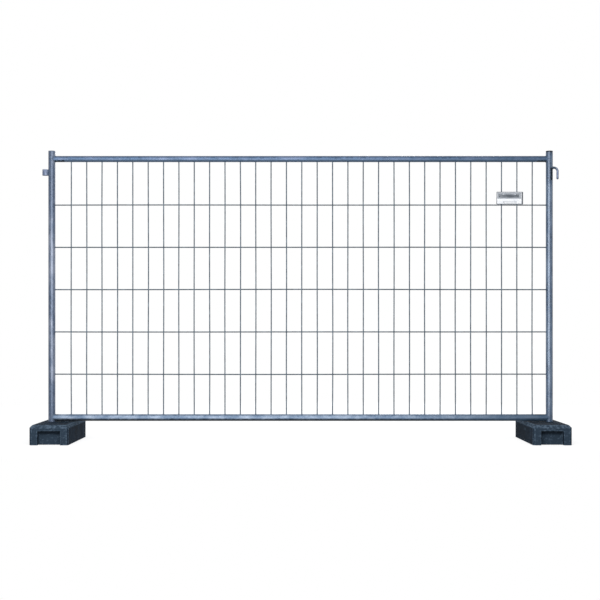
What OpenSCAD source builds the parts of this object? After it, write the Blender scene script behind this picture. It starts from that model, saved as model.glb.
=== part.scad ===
// Temporary fence panel: a welded tube frame with a wire infill, standing in two loose feet.
// Millimetres. +X runs along the fence, +Z is up and the front looks along -Y.
// The origin lies on the ground under the middle of the panel.

/* [Frame] */
// Width of the frame over both uprights
panel_w = 3500; // [2400:10:4000]
// Length of an upright, from its lower end in the foot to its upper end
upright_l = 2000; // [1600:10:2400]
// Outer diameter of the uprights
upright_d = 48.3; // [44:0.1:60]
// Wall of the uprights
upright_wall = 2; // [1.5:0.1:4]
// Outer diameter of the top rail
top_rail_d = 42.4; // [30:0.1:43.8]
// Outer diameter of the bottom rail, kept a little under that of the uprights
bottom_rail_d = 47; // [30:0.1:58]
// Wall of the rails
rail_wall = 1.5; // [1:0.1:4]
// Depth of the top rail's axis below the upper ends of the uprights
top_rail_drop = 52; // [35:1:120]
// Clear height between the feet and the bottom rail
rail_foot_gap = 4; // [2:1:80]
// Gap between two pieces that are welded or clamped together
seat_gap = 0.05; // [0.02:0.01:0.2]

/* [Infill] */
// Diameter of the infill wires
wire_d = 8; // [3:0.5:10]
// Number of vertical wires
column_count = 31; // [15:1:36]
// Distance from the left upright's axis to the first vertical wire
left_margin = 136; // [60:1:200]
// Distance from the last vertical wire to the right upright's axis
right_margin = 119; // [60:1:200]
// Number of horizontal wires
row_count = 5; // [2:1:6]
// Distance from the top rail's axis down to the first horizontal wire
top_margin = 319; // [200:1:400]
// Distance from the last horizontal wire down to the bottom rail's axis
bottom_margin = 301; // [100:1:400]

/* [Coupling] */
// Outer diameter of the eye tube
eye_d = 42.4; // [36:0.1:60]
// Wall of the eye tube
eye_wall = 2; // [1.6:0.1:4]
// Height of the eye tube
eye_h = 41; // [25:1:50]
// Depth of the eye's upper edge below the top rail's axis
eye_drop = 73; // [60:1:200]
// Depth to which the eye tube is hollowed to seat on its upright
eye_seat = 1; // [0.5:0.1:1.5]
// Diameter of the hook bar
hook_d = 16; // [10:0.5:20]
// Clear width between the hook's leg and its upright
hook_throat = 25; // [18:0.5:40]
// Radius of the hook's bend, along the axis of the bar
hook_bend_r = 24; // [14:0.5:26]
// Length of the hook's leg below the axis of its arm
hook_leg = 81; // [65:1:150]
// Clear height between the hook's arm and the eye of the next panel
hook_eye_gap = 5; // [1:0.5:20]

/* [Caps] */
// Thickness of the flange of an end cap
cap_flange = 4; // [2:0.5:10]
// Bevel round the flange of an end cap
cap_bevel = 1.5; // [0.5:0.1:1.8]
// Depth of the plug of an end cap
cap_depth = 20; // [8:1:40]
// Radial play of the plug in its upright
cap_play = 0.15; // [0.05:0.05:0.5]

/* [Feet] */
// Width of a foot, along the fence
foot_w = 260; // [210:1:330]
// Length of a foot, across the fence
foot_l = 720; // [500:5:900]
// Height of a foot
foot_h = 135; // [115:1:170]
// Bevel along the upper edges of a foot
foot_bevel = 18; // [5:1:25]
// Bevel along the standing corners of a foot
foot_corner = 12; // [5:1:20]
// Width of the grip recess in each end of a foot
grip_w = 152; // [100:1:170]
// Height of the grip recess above the ground
grip_h = 95; // [60:1:105]
// Depth of the grip recess
grip_depth = 50; // [40:1:120]
// Radial play of an upright in its socket
socket_play = 1.2; // [0.4:0.1:3]
// Thickness of the floor under a socket
socket_floor = 8; // [6:1:30]
// Distance by which the hook of a coupled panel hangs off the axis of the eye
coupling_slack = 8; // [0:0.5:10]

/* [Sign] */
// Number of vertical wires between the sign's right-hand wire and the right upright
sign_wires_beside = 1; // [0:1:8]
// Overhang of the sign plate past the two wires that carry it
sign_overhang = 39; // [15:1:45]
// Sideways offset of the sign plate from the middle of its two wires
sign_shift = 3; // [-10:1:10]
// Height of the sign plate
sign_h = 87; // [70:1:150]
// Thickness of the sign plate
sign_t = 2; // [1:0.5:6]
// Height of the sign plate's lower edge above the first horizontal wire
sign_rise = 4; // [0:1:60]
// Border of the sign plate around its face
sign_border = 4; // [2:0.5:12]
// Thickness of the sign's face sheet
face_t = 0.6; // [0.3:0.1:2]
// Height of the clamp bars behind the sign
bar_h = 14; // [10:1:20]
// Thickness of the clamp bars
bar_t = 3; // [1.5:0.5:6]
// Overhang of the clamp bars past the two wires
bar_overhang = 12; // [6:1:20]
// Distance of a clamp bar's axis from the nearer edge of the sign plate
bar_inset = 18; // [12:1:24]
// Diameter of a rivet's shank
rivet_d = 4.8; // [3:0.1:6]
// Radial play of a rivet in its holes
rivet_play = 0.1; // [0.05:0.05:0.4]
// Diameter of a rivet's head
rivet_head_d = 9; // [7:0.5:12]
// Height of a rivet's head
rivet_head_h = 1.6; // [0.8:0.1:3]
// Clear distance between a rivet's head and its wire
rivet_wire_gap = 4; // [1:0.5:15]

/* [Hidden] */
$fn = 64;
LEFT = -1;
RIGHT = 1;
// Length by which a cut runs past the faces that it opens
CUT = 1;
// Least step from an upright's diameter to a rail's, so that the rail's hollowed ends keep a sound rim
RIM_STEP = 1.2;

upright_r = upright_d / 2;
top_rail_r = top_rail_d / 2;
bottom_rail_r = min(bottom_rail_d, upright_d - RIM_STEP) / 2;
wire_r = wire_d / 2;
hook_r = hook_d / 2;

upright_x = panel_w / 2 - upright_r;
upright_top_z = socket_floor + upright_l;
top_rail_z = upright_top_z - top_rail_drop;
bottom_rail_z = foot_h + rail_foot_gap + bottom_rail_r;

// The vertical wires pass in front of the horizontal ones
column_pitch = (2 * upright_x - left_margin - right_margin) / (column_count - 1);
column_y = -(wire_r + seat_gap / 2);
row_pitch = (top_rail_z - bottom_rail_z - top_margin - bottom_margin) / (row_count - 1);
row_y = wire_r + seat_gap / 2;

eye_reach = upright_r + eye_d / 2 - eye_seat;
eye_top_z = top_rail_z - eye_drop;
hook_reach = upright_r + hook_throat + hook_r;
hook_arm_z = eye_top_z + hook_eye_gap + hook_r;

// Two coupled panels stand in one foot, so the sockets are as far apart as their uprights
socket_r = upright_r + socket_play;
socket_pitch = hook_reach + eye_reach - coupling_slack;
foot_x = upright_x - socket_pitch / 2;

sign_column = column_count - sign_wires_beside - 1;
sign_w = column_pitch + 2 * sign_overhang;
sign_wires_x = column_x(sign_column) + column_pitch / 2;
sign_x = sign_wires_x + sign_shift;
sign_bottom_z = row_z(1) + sign_rise;
sign_back_y = column_y - wire_r - seat_gap;
sign_front_y = sign_back_y - sign_t;
face_front_y = sign_front_y - face_t;
bar_front_y = column_y + wire_r + seat_gap;
bar_back_y = bar_front_y + bar_t;
bar_heights = [sign_bottom_z + bar_inset, sign_bottom_z + sign_h - bar_inset];
rivet_x = column_pitch / 2 - wire_r - rivet_wire_gap - rivet_head_d / 2;

COLUMNS = [for (i = [1 : column_count]) str("vertical_wire_", i < 10 ? "0" : "", i)];
ROWS = [for (i = [1 : row_count]) str("horizontal_wire_", i)];

// Place of a vertical wire, counted from the left, and of a horizontal one, counted from the top
function column_x(i) = -upright_x + left_margin + (i - 1) * column_pitch;
function row_z(i) = top_rail_z - top_margin - (i - 1) * row_pitch;

// Round tube that stands on the XY plane
module tube(d, wall, l) {
    difference() {
        cylinder(d = d, h = l);
        translate([0, 0, -CUT])
            cylinder(d = d - 2 * wall, h = l + 2 * CUT);
    }
}

// Bar or tube laid along X from one upright's axis to the other's
module from_upright_to_upright(y, z) {
    translate([-upright_x, y, z])
        rotate([0, 90, 0])
            children();
}

// Space that the uprights take out of what is welded against them
module upright_space() {
    for (side = [LEFT, RIGHT])
        translate([side * upright_x, 0, 0])
            cylinder(r = upright_r + seat_gap, h = upright_top_z);
}

// Space that the rails take out of what is welded against them
module rail_space() {
    for (rail = [[bottom_rail_z, bottom_rail_r], [top_rail_z, top_rail_r]])
        from_upright_to_upright(0, rail[0])
            cylinder(r = rail[1] + seat_gap, h = 2 * upright_x);
}

module upright(side) {
    color("lightslategray")
        translate([side * upright_x, 0, socket_floor])
            tube(upright_d, upright_wall, upright_l);
}

// Tube with hollowed ends that fit round the uprights
module rail(z, r) {
    color("lightslategray")
        difference() {
            from_upright_to_upright(0, z)
                tube(2 * r, rail_wall, 2 * upright_x);
            upright_space();
        }
}

module vertical_wire(i) {
    color("darkgray")
        difference() {
            translate([column_x(i), column_y, bottom_rail_z])
                cylinder(r = wire_r, h = top_rail_z - bottom_rail_z);
            rail_space();
        }
}

module horizontal_wire(i) {
    color("darkgray")
        difference() {
            from_upright_to_upright(row_y, row_z(i))
                cylinder(r = wire_r, h = 2 * upright_x);
            upright_space();
        }
}

// Short tube, welded to the outside of the left upright, that takes the hook of the next panel
module coupling_eye() {
    color("lightslategray")
        difference() {
            translate([-upright_x - eye_reach, 0, eye_top_z - eye_h])
                tube(eye_d, eye_wall, eye_h);
            upright_space();
        }
}

// Bent bar, welded to the outside of the right upright, with its leg pointing down
module coupling_hook() {
    arm_l = hook_reach - hook_bend_r;
    tip_z = hook_r - hook_leg;
    color("slategray")
        difference() {
            translate([upright_x, 0, hook_arm_z]) {
                rotate([0, 90, 0])
                    cylinder(r = hook_r, h = arm_l);
                translate([arm_l, 0, -hook_bend_r])
                    rotate([90, 0, 0])
                        rotate_extrude(angle = 90)
                            translate([hook_bend_r, 0])
                                circle(r = hook_r);
                translate([hook_reach, 0, tip_z])
                    cylinder(r = hook_r, h = -hook_bend_r - tip_z);
                translate([hook_reach, 0, tip_z])
                    sphere(r = hook_r);
            }
            upright_space();
        }
}

// Plug with a bevelled flange that closes the upper end of an upright
module cap(side) {
    plug_r = upright_r - upright_wall - cap_play;
    color("dimgray")
        translate([side * upright_x, 0, upright_top_z])
            rotate_extrude()
                polygon([
                    [0, -cap_depth],
                    [plug_r, -cap_depth],
                    [plug_r, 0],
                    [upright_r, 0],
                    [upright_r, cap_flange - cap_bevel],
                    [upright_r - cap_bevel, cap_flange],
                    [0, cap_flange]
                ]);
}

// Outline of a foot's end or side, with its two upper corners bevelled
module bevelled_top(w) {
    polygon([
        [-w / 2, 0],
        [w / 2, 0],
        [w / 2, foot_h - foot_bevel],
        [w / 2 - foot_bevel, foot_h],
        [foot_bevel - w / 2, foot_h],
        [-w / 2, foot_h - foot_bevel]
    ]);
}

// Outline of a foot on the ground, with its four corners bevelled
module bevelled_plan() {
    intersection() {
        square([foot_w, foot_l], center = true);
        rotate(45)
            square((foot_w + foot_l - 2 * foot_corner) / sqrt(2), center = true);
    }
}

// Loose moulded block with two sockets side by side and a hand grip in each end
module foot(side) {
    color([0.15, 0.19, 0.24])
        translate([side * foot_x, 0, 0])
            difference() {
                intersection() {
                    linear_extrude(foot_h)
                        bevelled_plan();
                    rotate([90, 0, 0])
                        linear_extrude(foot_l, center = true)
                            bevelled_top(foot_w);
                    rotate([90, 0, 90])
                        linear_extrude(foot_w, center = true)
                            bevelled_top(foot_l);
                }
                for (x = [-1, 1] * socket_pitch / 2)
                    translate([x, 0, socket_floor])
                        cylinder(r = socket_r, h = foot_h);
                for (y = [-1, 1] * foot_l / 2)
                    translate([-grip_w / 2, y - grip_depth, -CUT])
                        cube([grip_w, 2 * grip_depth, grip_h + CUT]);
            }
}

// Holes for the four rivets, through everything between two depths
module rivet_holes(front_y, back_y) {
    at_rivets(front_y - CUT)
        cylinder(r = rivet_d / 2 + rivet_play, h = back_y - front_y + 2 * CUT);
}

// Puts a shape at each rivet's axis, pointing to the back from a depth
module at_rivets(y) {
    for (x = [-rivet_x, rivet_x], z = bar_heights)
        translate([sign_wires_x + x, y, z])
            rotate([-90, 0, 0])
                children();
}

module sign_plate() {
    color("dimgray")
        difference() {
            translate([sign_x - sign_w / 2, sign_front_y, sign_bottom_z])
                cube([sign_w, sign_t, sign_h]);
            rivet_holes(sign_front_y, sign_back_y);
        }
}

module sign_face() {
    face_w = sign_w - 2 * sign_border;
    face_h = sign_h - 2 * sign_border;
    color("white")
        difference() {
            translate([sign_x - face_w / 2, face_front_y, sign_bottom_z + sign_border])
                cube([face_w, face_t, face_h]);
            rivet_holes(face_front_y, sign_front_y);
        }
}

// Flat bar behind the two wires that clamps the sign to them
module sign_bar(z) {
    bar_w = column_pitch + 2 * bar_overhang;
    color("darkgray")
        difference() {
            translate([sign_wires_x - bar_w / 2, bar_front_y, z - bar_h / 2])
                cube([bar_w, bar_t, bar_h]);
            rivet_holes(bar_front_y, bar_back_y);
        }
}

module sign_rivets() {
    color("silver") {
        at_rivets(face_front_y - rivet_head_h)
            cylinder(d = rivet_head_d, h = rivet_head_h);
        at_rivets(face_front_y)
            cylinder(d = rivet_d, h = bar_back_y - face_front_y);
        at_rivets(bar_back_y)
            cylinder(d = rivet_head_d, h = rivet_head_h);
    }
}

upright(LEFT);  // left_upright
upright(RIGHT);  // right_upright
rail(top_rail_z, top_rail_r);  // top_rail
rail(bottom_rail_z, bottom_rail_r);  // bottom_rail
for (i = [1 : column_count])
    vertical_wire(i);
for (i = [1 : row_count])
    horizontal_wire(i);
coupling_eye();
coupling_hook();
cap(LEFT);  // left_cap
cap(RIGHT);  // right_cap
foot(LEFT);  // left_foot
foot(RIGHT);  // right_foot
sign_plate();
sign_face();
sign_bar(bar_heights[0]);  // sign_bar_lower
sign_bar(bar_heights[1]);  // sign_bar_upper
sign_rivets();
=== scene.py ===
"""Temporary fence panel: the pieces that show, their finishes, and a plain studio round them."""
import logging
import math
import random
from dataclasses import dataclass
from enum import Enum

import bmesh
import bpy
from bmesh.types import BMEdge, BMFace, BMVert
from mathutils import Matrix, Vector


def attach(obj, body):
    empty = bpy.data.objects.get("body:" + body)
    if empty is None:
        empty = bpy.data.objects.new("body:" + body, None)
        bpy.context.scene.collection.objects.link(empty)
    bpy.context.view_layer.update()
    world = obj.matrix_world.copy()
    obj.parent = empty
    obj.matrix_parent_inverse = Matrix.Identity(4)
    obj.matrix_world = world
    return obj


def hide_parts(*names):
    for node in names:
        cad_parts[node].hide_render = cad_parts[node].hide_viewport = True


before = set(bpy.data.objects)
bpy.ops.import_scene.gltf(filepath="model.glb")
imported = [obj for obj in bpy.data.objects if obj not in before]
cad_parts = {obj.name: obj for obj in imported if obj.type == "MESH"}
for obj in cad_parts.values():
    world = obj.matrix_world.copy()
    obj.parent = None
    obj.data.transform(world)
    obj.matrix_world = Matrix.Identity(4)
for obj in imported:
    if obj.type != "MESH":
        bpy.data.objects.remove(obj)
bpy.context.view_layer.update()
LOG = logging.getLogger("fence_panel")

Span = tuple[float, float]
Point = tuple[float, float, float]
Tint = tuple[float, float, float, float]
Made = tuple[set[BMVert], set[BMFace]]
Socket = bpy.types.NodeSocket

TURN = 2 * math.pi
QUARTER = math.pi / 2
TINY = 1e-6
UP = Vector((0, 0, 1))
IN_PLACE = Matrix.Identity(4)
ALONG_X = Matrix.Rotation(QUARTER, 4, "Y")
BEVEL = {"affect": "EDGES", "profile": 0.5, "material": -1}
SHARP_ANGLE = 1.0
SHADE_ANGLE = math.radians(38)
FLAT_ANGLE = 0.01
FACING = 0.9
TUBE_SIDES = 48
END_BORDER = 5
WELD_INDEX = 1
BEAD_SIDES = 8
BEAD_RIPPLE = 0.16
BEAD_LUMPS = 3
BEAD_LUMP = 0.1
BEAD_PHASE = 900
WHITE = (1.0, 1.0, 1.0, 1.0)


class Body(Enum):
    """The bodies that pieces ride on."""

    PANEL = "panel"
    LEFT_FOOT = "left_foot"
    RIGHT_FOOT = "right_foot"


class Slot(Enum):
    """The record's material slots."""

    TUBE = "galvanised_tube"
    WIRE = "galvanised_wire"
    BAR = "galvanised_bar"
    CAP = "cap_plastic"
    FOOT = "foot_plastic"
    BACKING = "sign_backing"
    WHITE = "sign_white"
    RIVET = "rivet_metal"


class Side(Enum):
    """The two ends of the panel, with the sign of their x."""

    LEFT = -1
    RIGHT = 1

    def named(self, piece: str) -> str:
        """Name of a piece at this end."""
        return f"{self.name.lower()}_{piece}"


def at(x: float, y: float, z: float) -> Matrix:
    """A place, without a turn."""
    return Matrix.Translation((x, y, z))


def chord(radius: float, off: float) -> float:
    """Half the chord of a circle at a distance from its centre."""
    return math.sqrt(radius ** 2 - off ** 2)


def show(name: str, data: bpy.types.ID) -> bpy.types.Object:
    """Adds an object to the scene.

    Args:
        name: name of the object.
        data: its mesh, lamp or camera.

    Returns:
        The object.
    """
    made = bpy.data.objects.new(name, data)
    bpy.context.scene.collection.objects.link(made)
    return made


def linear(code: str) -> Tint:
    """Linear colour of a hex code, by the sRGB curve.

    Args:
        code: colour as #rrggbb.

    Returns:
        Red, green, blue and an alpha of 1.
    """
    parts = [int(code[i:i + 2], 16) / 255 for i in (1, 3, 5)]
    return (*[p / 12.92 if p <= 0.04045 else ((p + 0.055) / 1.055) ** 2.4 for p in parts], 1.0)


class NodeSheet:
    """Short calls that add nodes to one tree and join their sockets."""

    def __init__(self, tree: bpy.types.NodeTree) -> None:
        """Takes over a tree and empties it."""
        self.tree = tree
        tree.nodes.clear()

    def feed(self, socket: Socket, value: object) -> None:
        """Joins a socket to another one, or sets its value.

        Args:
            socket: the input.
            value: the output to join it to, or a plain value.
        """
        if isinstance(value, Socket):
            self.tree.links.new(value, socket)
        else:
            socket.default_value = value

    def add(self, kind: str, inputs: dict | None = None, **settings: object) -> bpy.types.Node:
        """Adds one node.

        Args:
            kind: Blender's name for the node.
            inputs: a socket or a value for each input, by name or number.
            settings: properties of the node.

        Returns:
            The new node.
        """
        node = self.tree.nodes.new(kind)
        for key, value in settings.items():
            setattr(node, key, value)
        for key, value in (inputs or {}).items():
            self.feed(node.inputs[key], value)
        return node

    def math(self, job: str, *values: object) -> Socket:
        """Result of a Math node for one to three values."""
        return self.add("ShaderNodeMath", dict(enumerate(values)), operation=job).outputs[0]

    def vector(self, job: str, *values: object) -> Socket:
        """Vector result of a Vector Math node."""
        return self.add("ShaderNodeVectorMath", dict(enumerate(values)), operation=job).outputs[0]

    def parts(self, vector: object) -> tuple[Socket, ...]:
        """The x, y and z of a vector."""
        return tuple(self.add("ShaderNodeSeparateXYZ", {0: vector}).outputs)

    def step(self, value: object, low: object, high: object) -> Socket:
        """Smooth step from 0 at low to 1 at high."""
        ends = {"Value": value, "From Min": low, "From Max": high}
        return self.add("ShaderNodeMapRange", ends, interpolation_type="SMOOTHSTEP").outputs[0]

    def between(self, value: object, low: float, high: float) -> Socket:
        """A 0 to 1 value spread over a range."""
        ends = {"Value": value, "To Min": low, "To Max": high}
        return self.add("ShaderNodeMapRange", ends).outputs[0]

    def blend(self, share: object, first: object, second: object) -> Socket:
        """Mix of two colours."""
        ends = {0: share, 6: first, 7: second}
        return self.add("ShaderNodeMix", ends, data_type="RGBA").outputs[2]

    def noise(self, point: object, scale: object, detail: float, rough: float) -> Socket:
        """Value of a noise texture."""
        inputs = {"Vector": point, "Scale": scale, "Detail": detail, "Roughness": rough}
        return self.add("ShaderNodeTexNoise", inputs).outputs[0]

    def bump(self, height: object, strength: float, depth: float) -> Socket:
        """Normal of a Bump node with a depth in metres."""
        inputs = {"Height": height, "Strength": strength, "Distance": depth}
        return self.add("ShaderNodeBump", inputs).outputs[0]

    def mix(self, share: Socket, first: bpy.types.Node, second: bpy.types.Node) -> bpy.types.Node:
        """Mix of two shaders."""
        ends = {0: share, 1: first.outputs[0], 2: second.outputs[0]}
        return self.add("ShaderNodeMixShader", ends)


class Effect:
    """A shader node group that is built once and placed in each finish with its own values."""

    name = ""
    takes: dict[str, str] = {}
    gives: tuple[str, ...] = ()

    def wire(self, sheet: NodeSheet, given: dict) -> dict:
        """Adds the group's nodes.

        Args:
            sheet: the group's tree.
            given: the group's inputs by name.

        Returns:
            A socket for each of the group's outputs, by name.
        """
        raise NotImplementedError

    def tree(self) -> bpy.types.NodeTree:
        """Makes the group at the first call.

        Returns:
            The group's tree.
        """
        found = bpy.data.node_groups.get(self.name)
        if found:
            return found
        tree = bpy.data.node_groups.new(self.name, "ShaderNodeTree")
        for label, kind in self.takes.items():
            tree.interface.new_socket(label, in_out="INPUT", socket_type=f"NodeSocket{kind}")
        for label in self.gives:
            tree.interface.new_socket(label, in_out="OUTPUT", socket_type="NodeSocketFloat")
        sheet = NodeSheet(tree)
        given = sheet.add("NodeGroupInput").outputs
        sheet.add("NodeGroupOutput", self.wire(sheet, given))
        return tree

    def place(self, sheet: NodeSheet, **values: object) -> dict:
        """Places the group in a material.

        Args:
            sheet: the material's tree.
            values: a socket or a value for each input.

        Returns:
            The group's outputs by name.
        """
        return sheet.add("ShaderNodeGroup", values, node_tree=self.tree()).outputs


class ZincMottle(Effect):
    """Clouds, crystal cells and fine grain of a zinc coat."""

    name = "zinc_mottle"
    takes = {"Vector": "Vector", "Stretch": "Vector", "Patch": "Float", "Spangle": "Float"}
    gives = ("Bloom", "Spangle", "Grain")
    cloud = (4.0, 0.62)
    bloom = (0.4, 0.7)
    grain = (700.0, 2.0, 0.7)

    def wire(self, sheet: NodeSheet, given: dict) -> dict:
        """Adds the clouds, the cells and the grain.

        Args:
            sheet: the group's tree.
            given: the group's inputs by name.

        Returns:
            Bloom, tone of the cells and grain, by name.
        """
        drawn = sheet.vector("MULTIPLY", given["Vector"], given["Stretch"])
        cloud = sheet.noise(drawn, given["Patch"], *self.cloud)
        where = {"Vector": given["Vector"], "Scale": given["Spangle"]}
        cells = sheet.add("ShaderNodeTexVoronoi", where).outputs["Color"]
        tone = sheet.add("ShaderNodeSeparateColor", {0: cells}).outputs[0]
        grain = sheet.noise(given["Vector"], *self.grain)
        return {"Bloom": sheet.step(cloud, *self.bloom), "Spangle": tone, "Grain": grain}


class UndersideDirtAndShade(Effect):
    """Dirt and painted shade on what faces the ground."""

    name = "underside_grime_and_shade"
    takes = {"Vector": "Vector", "Normal": "Vector"}
    gives = ("Dirt",)
    cloud = (40.0, 3.0, 0.6)
    ragged = 0.5
    edge = (0.48, 0.72)

    def wire(self, sheet: NodeSheet, given: dict) -> dict:
        """Adds the mask, with a ragged edge.

        Args:
            sheet: the group's tree.
            given: the group's inputs by name.

        Returns:
            The mask, by name.
        """
        rise = sheet.parts(given["Normal"])[2]
        cloud = sheet.noise(given["Vector"], *self.cloud)
        fall = sheet.math("SUBTRACT", sheet.math("MULTIPLY", cloud, self.ragged), rise)
        return {"Dirt": sheet.step(fall, *self.edge)}


class Scuffs(Effect):
    """Rubbed and scratched spots, drawn out along one direction."""

    name = "scuffs"
    takes = {"Vector": "Vector", "Stretch": "Vector", "Scale": "Float", "Wear": "Float"}
    gives = ("Scuff", "Speck")
    cloud = (4.0, 0.65)
    specks = (420.0, 2.0, 0.8)
    gather = 0.26
    edge = (0.6, 0.74)

    def wire(self, sheet: NodeSheet, given: dict) -> dict:
        """Adds the scuffs, which gather where the wear is, and fine specks.

        Args:
            sheet: the group's tree.
            given: the group's inputs by name.

        Returns:
            The masks of scuffs and specks, by name.
        """
        drawn = sheet.vector("MULTIPLY", given["Vector"], given["Stretch"])
        cloud = sheet.noise(drawn, given["Scale"], *self.cloud)
        rubbed = sheet.math("ADD", cloud, sheet.math("MULTIPLY", given["Wear"], self.gather))
        specks = sheet.noise(given["Vector"], *self.specks)
        return {"Scuff": sheet.step(rubbed, *self.edge), "Speck": sheet.step(specks, *self.edge)}


class Block(Effect):
    """A soft-edged box in space."""

    name = "block_mask"
    takes = {"Vector": "Vector", "Centre": "Vector", "Half": "Vector", "Soft": "Float"}
    gives = ("Mask",)

    def wire(self, sheet: NodeSheet, given: dict) -> dict:
        """Adds the mask from the largest of the three distances.

        Args:
            sheet: the group's tree.
            given: the group's inputs by name.

        Returns:
            The mask, by name.
        """
        off = sheet.vector("ABSOLUTE", sheet.vector("SUBTRACT", given["Vector"], given["Centre"]))
        x, y, z = sheet.parts(sheet.vector("SUBTRACT", off, given["Half"]))
        outside = sheet.math("MAXIMUM", sheet.math("MAXIMUM", x, y), z)
        inside = sheet.math("MULTIPLY", outside, -1.0)
        low = sheet.math("MULTIPLY", given["Soft"], -1.0)
        return {"Mask": sheet.step(inside, low, given["Soft"])}


@dataclass(frozen=True)
class Mark:
    """A box-shaped place with a colour of its own, such as a print, a burnt spot or a patch of
    painted shade.
    """

    colour: str
    centre: Point
    half: Point
    soft: float = 0.0004
    share: float = 1.0
    burn_and_shade: bool = False
    ragged: float = 0.015
    ragged_scale: float = 70.0
    ragged_detail: float = 3.0

    def cover(self, sheet: NodeSheet, point: object) -> Socket:
        """How much the mark covers at a point, with ragged edges on the burnt marks and the painted
        shade.

        Args:
            sheet: the material's tree.
            point: the place on the piece.

        Returns:
            The socket of the share.
        """
        if self.burn_and_shade:
            inputs = {"Vector": point, "Scale": self.ragged_scale, "Detail": self.ragged_detail}
            noise = sheet.add("ShaderNodeTexNoise", inputs).outputs["Color"]
            reach, middle = (2 * self.ragged,) * 3, (-self.ragged,) * 3
            point = sheet.vector("ADD", point, sheet.vector("MULTIPLY_ADD", noise, reach, middle))
        box = {"Centre": self.centre, "Half": self.half, "Soft": self.soft}
        return sheet.math("MULTIPLY", Block().place(sheet, Vector=point, **box)["Mask"], self.share)


@dataclass(frozen=True)
class Finish:
    """What all finishes share: a name, the main colours, roughness, gloss, and marks on top."""

    name: str
    shade: str
    body: str
    light: str
    rough: Span
    gloss: float = 0.3
    marks: tuple[Mark, ...] = ()

    def colour(self, sheet: NodeSheet, place: dict) -> tuple:
        """Adds the finish's own nodes.

        Args:
            sheet: the material's tree.
            place: outputs of the Texture Coordinate node.

        Returns:
            Sockets or values for base colour, roughness, metallic and normal.
        """
        raise NotImplementedError

    def marked(self, sheet: NodeSheet, point: object, colour: object) -> object:
        """Lays the marks over a colour, in their order.

        Args:
            sheet: the material's tree.
            point: the place on the piece.
            colour: the colour under the marks.

        Returns:
            The marked colour.
        """
        for mark in self.marks:
            colour = sheet.blend(mark.cover(sheet, point), colour, linear(mark.colour))
        return colour

    def material(self) -> bpy.types.Material:
        """Makes the material at the first call.

        Returns:
            The finish's material.
        """
        found = bpy.data.materials.get(self.name)
        if found:
            return found
        made = bpy.data.materials.new(self.name)
        made.use_nodes = True
        sheet = NodeSheet(made.node_tree)
        place = sheet.add("ShaderNodeTexCoord").outputs
        base, rough, metal, normal = self.colour(sheet, place)
        inputs = {"Base Color": base, "Roughness": rough, "Metallic": metal, "Normal": normal}
        shader = sheet.add("ShaderNodeBsdfPrincipled", inputs)
        shader.inputs["Specular IOR Level"].default_value = self.gloss
        sheet.add("ShaderNodeOutputMaterial", {"Surface": shader.outputs[0]})
        return made


@dataclass(frozen=True)
class Zinc(Finish):
    """Weathered galvanised steel."""

    # colour and share of the dirt and painted shade on the underside
    dirt: str = "#242c35"
    dirt_share: float = 0.92
    patch: float = 16.0
    stretch: Point = (1.0, 1.0, 1.0)
    spangle: float = 85.0
    bloom_share: Span = (0.5, 1.0)
    metal: float = 0.3
    grit: float = 0.25
    cell_height: float = 0.5
    relief: float = 0.0006

    def colour(self, sheet: NodeSheet, place: dict) -> tuple:
        """Adds mottled zinc, dirt and painted shade below, and any marks.

        Args:
            sheet: the material's tree.
            place: outputs of the Texture Coordinate node.

        Returns:
            Base colour, roughness, metallic and normal.
        """
        point = place["Object"]
        sizes = {"Stretch": self.stretch, "Patch": self.patch, "Spangle": self.spangle}
        zinc = ZincMottle().place(sheet, Vector=point, **sizes)
        dirt = UndersideDirtAndShade().place(sheet, Vector=point, Normal=place["Normal"])["Dirt"]
        tone = sheet.blend(zinc["Spangle"], linear(self.shade), linear(self.body))
        speckle = sheet.between(zinc["Grain"], *self.bloom_share)
        bloom = sheet.math("MULTIPLY", zinc["Bloom"], speckle)
        base = sheet.blend(bloom, tone, linear(self.light))
        # darker towards the underside: dirt, and painted shade of the lower side
        soiled_and_shaded = sheet.math("MULTIPLY", dirt, self.dirt_share)
        base = sheet.blend(soiled_and_shaded, base, linear(self.dirt))
        base = self.marked(sheet, point, base)
        rough = sheet.between(zinc["Spangle"], *self.rough)
        metal = sheet.math("MULTIPLY_ADD", dirt, -self.metal, self.metal)
        for mark in self.marks:
            if mark.burn_and_shade:
                metal = sheet.math("MAXIMUM", metal, mark.cover(sheet, point))
        height = sheet.math("MULTIPLY_ADD", zinc["Spangle"], self.cell_height, zinc["Grain"])
        return base, rough, metal, sheet.bump(height, self.grit, self.relief)


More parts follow.
